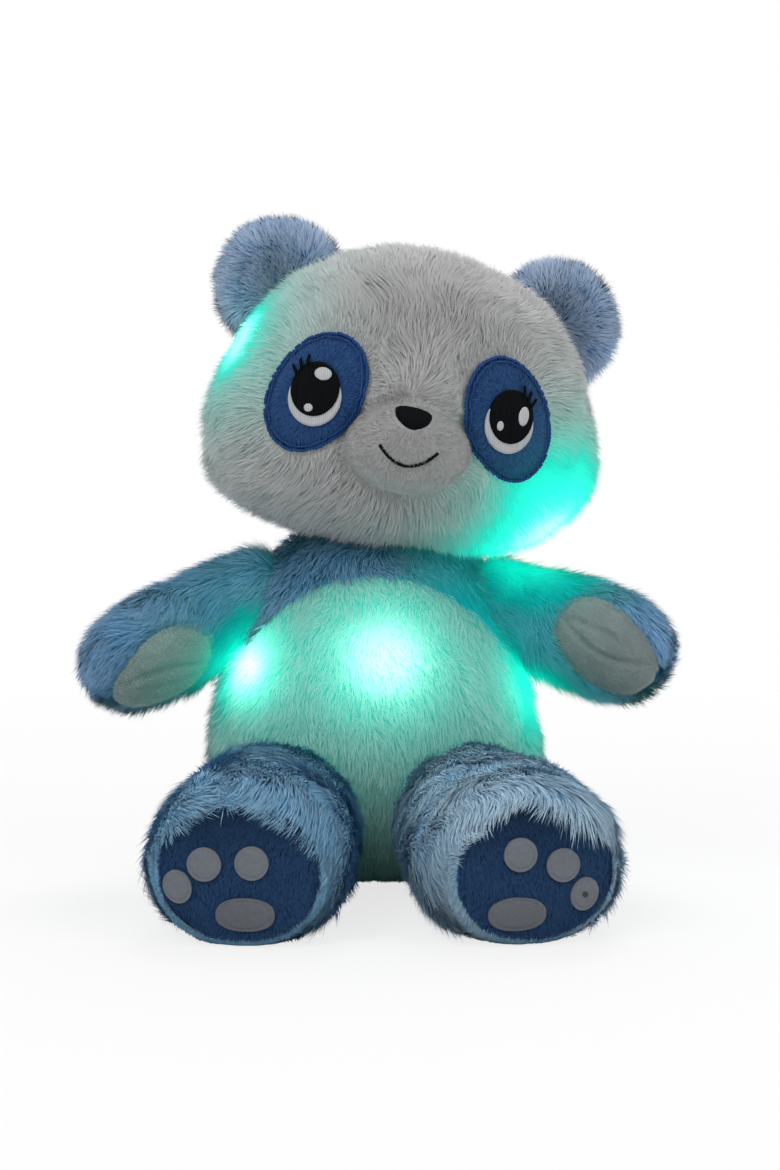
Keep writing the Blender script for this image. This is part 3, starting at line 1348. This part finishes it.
def makeLeg(side):
    s = legShape
    sign = sideSigns[side]
    matrix, length = legFrame(side)
    rings = limbRings(s["shares"], length, s["halfWidth"], s["halfHeight"])
    mesh = ringMesh("leg_cloth_" + side, rings[1:], rings[0][0] * (1, 0, 0), (length, 0, 0))
    mesh.transform(matrix)
    leg = puffed(linked("leg_cloth_" + side, mesh), travel=0.0018, voxel=0.0042)
    lumpy(leg, 0.026, 0.0014, 14.0 + sign)
    at = toLocal(matrix, pointsOf(leg.data))
    at[:, 0] = np.minimum(at[:, 0], length)
    points = toWorld(matrix, at)
    points[:, 2] = np.maximum(points[:, 2], 0.0)
    setPoints(leg.data, points)
    shine = lambda p, n: glowAt(p, n, (), ("belly_middle", "belly_side", "flank"), (0.0, 0.16, 0.20))
    wholeGlow(leg, shine)
    tree = treeOf(leg)
    lay, _ = soleFrame(side)
    sole = appliqued("sole_cloth_" + side, tree, lay, oval((0, 0), s["soleHalf"], square=2.25), 0.0008,
                     0.0016, 0.0016, rings=16, count=60)
    wholeGlow(sole, noGlow)
    dress(sole, "soleBacking", "leg_" + side, ("leg_%s_sole" % side,))
    soleTree = treeOf(sole)
    out = np.array(lay.to_3x3() @ Vector((0, -1, 0)))
    along = matrix.to_3x3() @ Vector((1, 0, 0))
    pads = {toe: (*place, *s["padSizes"][toe]) for toe, place in s["pads"][side].items()}

    def sewnEdge(x, z, share):
        return -0.00045 * math.exp(-(((share - 0.84) / 0.05) ** 2))

    for toe, (x, z, halfX, halfZ, lean) in pads.items():
        name = "heel_felt_" + side if toe == "heel" else "toe_felt_%s_%s" % (toe, side)
        node = "leg_%s_heel_pad" % side if toe == "heel" else "leg_%s_toe_pad_%s" % (side, toe)
        edge = oval((sign * x, z), (halfX, halfZ), sign * lean, square=2.3 if toe == "heel" else 2.0)
        pad = appliqued(name, soleTree, lay, edge, 0.0022, 0.0004, 0.0020, rings=16, count=44,
                        relief=sewnEdge)
        wholeGlow(pad, noGlow, 0.80 if toe == "heel" else 1.0)
        dress(pad, "padFelt", "leg_" + side, (node,))

    def soleKeep(points, normals):
        at = toLocal(lay, points)
        clear = np.ones(len(at), bool)
        for x, z, halfX, halfZ, lean in pads.values():
            gapX = (at[:, 0] - sign * x) / (halfX - 0.0004)
            gapZ = (at[:, 2] - z) / (halfZ - 0.0004)
            clear &= gapX ** 2 + gapZ ** 2 > 1
        return clear & (normals @ out > 0.2)

    def soleTone(points, normals):
        # darker under the overhanging pile at the top
        return 1.1 - 0.40 * np.clip((toLocal(lay, points)[:, 2] - 0.004) / 0.02, 0, 1)

    soleFur = grow("sole_fur_" + side, sole, {**limbFur["sole"], "seed": 60 + sign}, towards((0, 0, -1)),
                   soleKeep, None, noGlow, soleTone)
    dress(soleFur, "solePlush", "leg_" + side)
    halfX, halfZ = s["soleHalf"]

    def soleReach(points):
        at = toLocal(lay, points)
        return np.hypot(at[:, 0] / halfX, at[:, 2] / halfZ)

    def keep(points, normals):
        at = toLocal(matrix, points)
        onSole = (at[:, 0] > length - 0.004) & (soleReach(points) < 1.0)
        inside = (at[:, 0] < 0.0) & (np.hypot(at[:, 1], at[:, 2]) < 0.02)
        return ~onSole & ~inside & ~((normals[:, 2] < -0.85) & (points[:, 2] < 0.001))

    def combed(points, normals):
        # along the leg, then outwards round the sole, and over its top edge
        at = toLocal(matrix, points)
        rim = np.clip((at[:, 0] / length - 0.72) / 0.24, 0, 1)[:, None]
        outward = unit(at * np.array((0, 1, 1)) + 1e-9) @ np.array(matrix.to_3x3()).T
        top = np.clip(normals[:, 2], 0, 1)[:, None]
        flow = np.tile(np.array(along), (len(points), 1)) * (1 - 0.60 * rim * (1 - top))
        return flow + outward * rim * 0.6 * (1 - top) + (0.12 + 0.5 * rim * top) * np.array((0, 0, -1))

    def longer(points, normals):
        at = toLocal(matrix, points)
        low = np.where(points[:, 2] < 0.006, 0.5, 1.0)
        rim = np.clip((at[:, 0] / length - 0.84) / 0.12, 0, 1)
        top = np.clip(normals[:, 2] * 1.6, 0, 1)
        corner = hill(at[:, 1] * sign, 0.020, 0.012) * top * (side == "left")
        return low * (1 - rim * (0.74 - 0.62 * top)) * (1 + 0.6 * rim * corner)

    def tone(points, normals):
        # the pile lies in paler and darker bands, and is darkest against the belly
        at = toLocal(matrix, points)
        band = np.sin(at[:, 0] * 210 + drifting(points, 0.03, 9)[:, 0] * 2.4)
        deep = np.clip(1 - at[:, 0] / (0.35 * length), 0, 1)
        under = np.clip(-normals[:, 2], 0, 1)
        edge = np.clip((at[:, 0] / length - 0.86) / 0.10, 0, 1) * np.clip(1 - normals[:, 2] * 1.5, 0, 1)
        shade = (1.0 + 0.08 * band) * (1 - 0.25 * deep) * (1 - 0.20 * under) * (1 - 0.30 * edge)
        return shade * s["tones"][side]

    fur = grow("leg_fur_" + side, leg, {**limbFur["leg"], "seed": 50 + sign}, combed, keep, longer, shine,
               tone)
    body = "leg_" + side
    hip = Vector(s["hips"][side])
    start, end = hip - along * 0.006, hip + along * 0.026
    coats["legBacking"].wearing(leg)
    coats["legPlush_" + side].wearing(fur)
    for item in (leg, fur):
        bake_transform(item)
    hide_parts(body + "_cover", body + "_fill")


for legSide in sideSigns:
    makeLeg(legSide)
print("legs dressed")


# Zip and working parts


def plasticCoat(name, colour, roughness=0.45):
    coat = Coat(name, roughness=roughness)
    grain = coat.noise(380.0, 3.0)
    cloud = coat.noise(40.0, 2.0)
    coat.feed({"Base Color": coat.mix(cloud, rgb(*(0.9 * c for c in colour)),
                                      rgb(*(1.1 * c for c in colour)))})
    coat.feed({"Roughness": grain * 0.15 + (roughness - 0.07)})
    return coat.bump(grain, 0.15, 0.0002)


def metalCoat(name, colour, roughness=0.3):
    coat = Coat(name, roughness=roughness, metallic=1.0)
    brushed = coat.noise(260.0, 3.0, (1.0, 1.0, 7.0))
    coat.feed({"Base Color": coat.mix(brushed, rgb(*(0.8 * c for c in colour)), rgb(*colour))})
    coat.feed({"Roughness": brushed * 0.25 + (roughness - 0.1)})
    return coat.bump(brushed, 0.1, 0.0001)


def wovenCoat(name, colour, scale=700.0):
    coat = Coat(name, roughness=0.9)
    warp = coat.node("ShaderNodeTexWave", {"bands_direction": "X"},
                     {"Vector": coat.place(), "Scale": scale, "Distortion": 0.6})
    weft = coat.node("ShaderNodeTexWave", {"bands_direction": "Z"},
                     {"Vector": coat.place(), "Scale": scale, "Distortion": 0.6})
    weave = warp * weft
    coat.feed({"Base Color": coat.mix(weave, rgb(*(0.7 * c for c in colour)), rgb(*colour))})
    return coat.bump(weave, 0.5, 0.0003)


def lensCoat():
    coat = Coat("lamp lens", roughness=0.2)
    cloud = coat.noise(300.0, 2.0)
    coat.feed({"Base Color": coat.mix(cloud, rgb(0.25, 0.85, 0.72), rgb(0.6, 1.0, 0.92))})
    coat.feed({"Emission Color": coat.mix(cloud, rgb(0.0, 1.0, 0.72), rgb(0.5, 1.0, 0.9)),
               "Emission Strength": 1.2})
    return coat


def boardCoat():
    coat = Coat("green circuit board", roughness=0.4)
    tracks = coat.node("ShaderNodeTexBrick", {}, {
        "Vector": coat.place(), "Scale": 260.0, "Color1": rgb(0.02, 0.16, 0.06),
        "Color2": rgb(0.03, 0.22, 0.09), "Mortar": rgb(0.35, 0.30, 0.12)})
    return coat.feed({"Base Color": tracks})


def cellCoat():
    coat = Coat("cell jacket", roughness=0.3)
    scuffs = coat.noise(220.0, 3.0, (1.0, 1.0, 0.2))
    return coat.feed({"Base Color": coat.mix(scuffs, rgb(0.05, 0.06, 0.07), rgb(0.14, 0.15, 0.17)),
                      "Coat Weight": 0.3})


zipShape = {
    "tapeFrom": 0.0014,
    "pitch": 0.0030,
    "tooth": (0.0021, 0.0010),
    "stitch": 0.0030,
    "stitchGap": 0.0014,
    "thread": 0.00035,
}
pouchShape = {"wall": 0.0008, "hem": 0.0008, "square": 9.0, "sag": 0.0005}


def rods(name, lines, radius, sides=6):
    # short rounded rods, one for each pair of ends
    points, faces = [], []
    for start, end in lines:
        start, end = Vector(start), Vector(end)
        along = (end - start).normalized()
        up = along.orthogonal().normalized()
        side = along.cross(up)
        first = len(points)
        for t, size in ((0.0, 0.45), (0.12, 0.9), (0.5, 1.0), (0.88, 0.9), (1.0, 0.45)):
            for k in range(sides):
                a = 2 * math.pi * k / sides
                points.append(start.lerp(end, t) + (up * math.cos(a) + side * math.sin(a)) * radius * size)
        for row in range(4):
            for k in range(sides):
                low, high = first + row * sides, first + (row + 1) * sides
                faces.append((low + k, low + (k + 1) % sides, high + (k + 1) % sides, high + k))
        faces.append(tuple(first + k for k in reversed(range(sides))))
        faces.append(tuple(first + 4 * sides + k for k in range(sides)))
    return linked(name, meshFrom(name, points, faces))


def makeZip():
    s = zipShape
    for side, sign in sideSigns.items():
        low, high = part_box("zip_tape_" + side)
        near, far = s["tapeFrom"], max(abs(low[0]), abs(high[0]))
        columns, rows = 13, 61
        points, faces = [], []
        for layer in (0, 1):
            for j in range(rows):
                for i in range(columns):
                    x = near + (far - near) * i / (columns - 1)
                    z = low[2] + (high[2] - low[2]) * j / (rows - 1)
                    # the tape waves a little, and its threads stand in ribs
                    wave = 0.00018 * math.sin(z * 380 + sign) + 0.00008 * (-1) ** i
                    y = (low[1] + 0.0003 if layer == 0 else high[1] - 0.0003) + wave * layer
                    points.append((sign * x, y, z))
        size = columns * rows
        for j in range(rows - 1):
            for i in range(columns - 1):
                a = j * columns + i
                faces.append((a, a + 1, a + columns + 1, a + columns))
                faces.append((size + a, size + a + columns, size + a + columns + 1, size + a + 1))
        edge = [j * columns for j in range(rows)] + [(rows - 1) * columns + i for i in range(1, columns)]
        edge += [j * columns + columns - 1 for j in range(rows - 2, -1, -1)] + list(range(columns - 2, 0, -1))
        for a, b in zip(edge, edge[1:] + edge[:1]):
            faces.append((a, b, b + size, a + size))
        tape = linked("zip_tape_cloth_" + side, meshFrom("zip_tape_cloth_" + side, points, faces))
        dress(tape, "tapeCloth", "torso", ("zip_tape_" + side,))
        # moulded teeth that mesh with those of the other side
        long, tall = s["tooth"]
        count = int((high[2] - low[2] - 0.002) / s["pitch"])
        lines = []
        for i in range(count):
            z = low[2] + 0.0015 + (i + (0.5 if sign > 0 else 0.0)) * s["pitch"]
            lines.append(((sign * (near + 0.0006), high[1] + 0.0001, z),
                          (sign * (near + 0.0006 - long), high[1] + 0.0001, z)))
        teeth = rods("zip_teeth_" + side, lines, tall * 0.62, 8)
        dress(teeth, "toothPlastic", "torso")
        step = s["stitch"] + s["stitchGap"]
        lines = []
        for i in range(int((high[2] - low[2]) / step)):
            z = low[2] + 0.0008 + i * step
            lines.append(((sign * (far - 0.0014), high[1], z),
                          (sign * (far - 0.0014), high[1], z + s["stitch"])))
        dress(rods("zip_stitches_" + side, lines, s["thread"]), "feltThread", "torso")


def makePouch():
    # a sewn cloth pocket round the case, open towards the zip
    s = pouchShape
    low, high = (Vector(corner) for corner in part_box("battery_pouch"))
    middle, half = (low + high) / 2, (high - low) / 2 - Vector((s["wall"],) * 3) / 2
    rows = [(0.0, 0.0)] + [(0.0, t) for t in (0.35, 0.7, 0.9,
                                              0.98)] + [(t, 1.0) for t in np.linspace(0.03, 1.0, 14)]
    rings = []
    for depth, share in rows[1:]:
        ring = []
        for i in range(72):
            a = 2 * math.pi * i / 72
            c, n = math.cos(a), math.sin(a)
            x = math.copysign(abs(c) ** (2 / s["square"]), c)
            z = math.copysign(abs(n) ** (2 / s["square"]), n)
            slack = 1 - s["sag"] / half.x * (0.5 + 0.5 * math.sin(7 * a + 9 * depth)) * depth
            ring.append((middle.x + half.x * x * share * slack,
                         low.y + 0.0006 + (high.y - low.y - 0.0014) * depth,
                         middle.z + half.z * z * share * slack))
        rings.append(ring)
    pouch = linked("battery_pocket", ringMesh("battery_pocket", rings, (middle.x, low.y + 0.0006, middle.z)))
    step = pouch.modifiers.new("Wall", "SOLIDIFY")
    step.thickness, step.offset = s["wall"], 0.0
    baked(pouch)
    dress(pouch, "pouchCloth", "torso", ("battery_pouch",))
    hem = corded("battery_pocket_hem", rings[-1], s["hem"], closed=True, ridge=0.14)
    dress(hem, "pouchCloth", "torso")


coats["tapeCloth"] = wovenCoat("woven zip tape", (0.50, 0.51, 0.52))
coats["toothPlastic"] = plasticCoat("white moulded teeth", (0.60, 0.61, 0.61), 0.4)
coats["pouchCloth"] = wovenCoat("woven pouch cloth", (0.42, 0.42, 0.44), 500.0)
makeZip()
makePouch()
partCoats = {
    "case": (plasticCoat("grey moulded plastic", (0.55, 0.56, 0.56)), ("battery_case", "battery_cover")),
    "black": (plasticCoat("black moulded plastic", (0.02, 0.02, 0.022), 0.4),
              ("switch_body", "switch_plunger")),
    "steel": (metalCoat("plated steel", (0.62, 0.62, 0.63)),
              ("cover_screw", "contact_strip_top", "contact_strip_bottom", "zip_slider", "zip_pull")),
    "cell": (cellCoat(), ("battery_1", "battery_2", "battery_3")),
    "board": (boardCoat(), ("control_board",)),
    "lens": (lensCoat(), tuple("light_" + name for name in lightSpots)),
    "lead": (plasticCoat("lead cover", (0.70, 0.70, 0.68), 0.5),
             ("body_harness", "head_harness", "switch_lead")),
}
for coat, nodes in partCoats.values():
    for name in nodes:
        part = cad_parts[name]
        for holder in part.material_slots:
            holder.material = coat.material
print("working parts finished")


# Floor, lamps and camera


def makeStage():
    half = studio["floorHalf"]
    corners = ((-half, -half, 0), (half, -half, 0), (half, half, 0), (-half, half, 0))
    floor = linked("floor", meshFrom("floor", [Vector(c) - Vector((0, 0, 0.0002)) for c in corners],
                                     [(0, 1, 2, 3)]))
    coat = Coat("pale floor", roughness=0.9)
    coat.feed({"Base Color": studio["floorColour"]})
    # it fades to the white of the surround away from the toy, so that only its shadow shows
    near, rise, reach = studio["floorPaleness"]
    path = coat.node("ShaderNodeLightPath", {}, {})
    away = coat.node("ShaderNodeVectorMath", {"operation": "LENGTH"}, {0: coat.place()}, out=1)
    fade = (away * (1 / reach)).clamped() * rise + near
    white = coat.node("ShaderNodeEmission", {}, {"Color": rgb(1, 1, 1), "Strength": 1.0})
    seen = {0: path * fade, 1: Wire(coat, coat.shader.outputs[0]), 2: white}
    blend = coat.node("ShaderNodeMixShader", {}, seen)
    tree = coat.tree
    coat.plug(tree.nodes["Material Output"], {"Surface": blend})
    coat.wearing(floor)

    world = bpy.data.worlds.new("white surround")
    bpy.context.scene.world = world
    world.use_nodes = True
    nodes, links = world.node_tree.nodes, world.node_tree.links
    nodes.clear()
    seen = nodes.new("ShaderNodeBackground")
    seen.inputs["Color"].default_value = rgb(1, 1, 1)
    lit = nodes.new("ShaderNodeBackground")
    lit.inputs["Color"].default_value = rgb(1, 1, 1)
    lit.inputs["Strength"].default_value = studio["skyLevel"]
    rays = nodes.new("ShaderNodeLightPath")
    glassy, both = nodes.new("ShaderNodeMath"), nodes.new("ShaderNodeMath")
    glassy.operation = both.operation = "MAXIMUM"
    choice = nodes.new("ShaderNodeMixShader")
    output = nodes.new("ShaderNodeOutputWorld")
    links.new(rays.outputs["Is Camera Ray"], both.inputs[0])
    links.new(rays.outputs["Is Glossy Ray"], glassy.inputs[0])
    links.new(rays.outputs["Is Transmission Ray"], glassy.inputs[1])
    links.new(glassy.outputs[0], both.inputs[1])
    links.new(both.outputs[0], choice.inputs[0])
    links.new(lit.outputs[0], choice.inputs[1])
    links.new(seen.outputs[0], choice.inputs[2])
    links.new(choice.outputs[0], output.inputs["Surface"])

    for number, (place, aim, size, watts) in enumerate(studio["lamps"], 1):
        lamp = bpy.data.lights.new("soft lamp %d" % number, "AREA")
        lamp.shape = "DISK"
        lamp.size = size
        lamp.energy = watts
        item = bpy.data.objects.new(lamp.name, lamp)
        bpy.context.scene.collection.objects.link(item)
        item.location = place
        item.rotation_euler = (Vector(aim) - Vector(place)).to_track_quat("-Z", "Y").to_euler()

    camera = bpy.data.objects.new("camera", bpy.data.cameras.new("camera"))
    bpy.context.scene.collection.objects.link(camera)
    camera.location = view["place"]
    camera.rotation_euler = (math.radians(90 - view["pitch"]), 0, 0)
    camera.data.lens = view["lens"]
    camera.data.sensor_width = view["sensor"]
    camera.data.clip_end = 20
    bpy.context.scene.camera = camera
    bpy.context.scene.view_settings.view_transform = "Standard"


makeStage()
print("stage set")
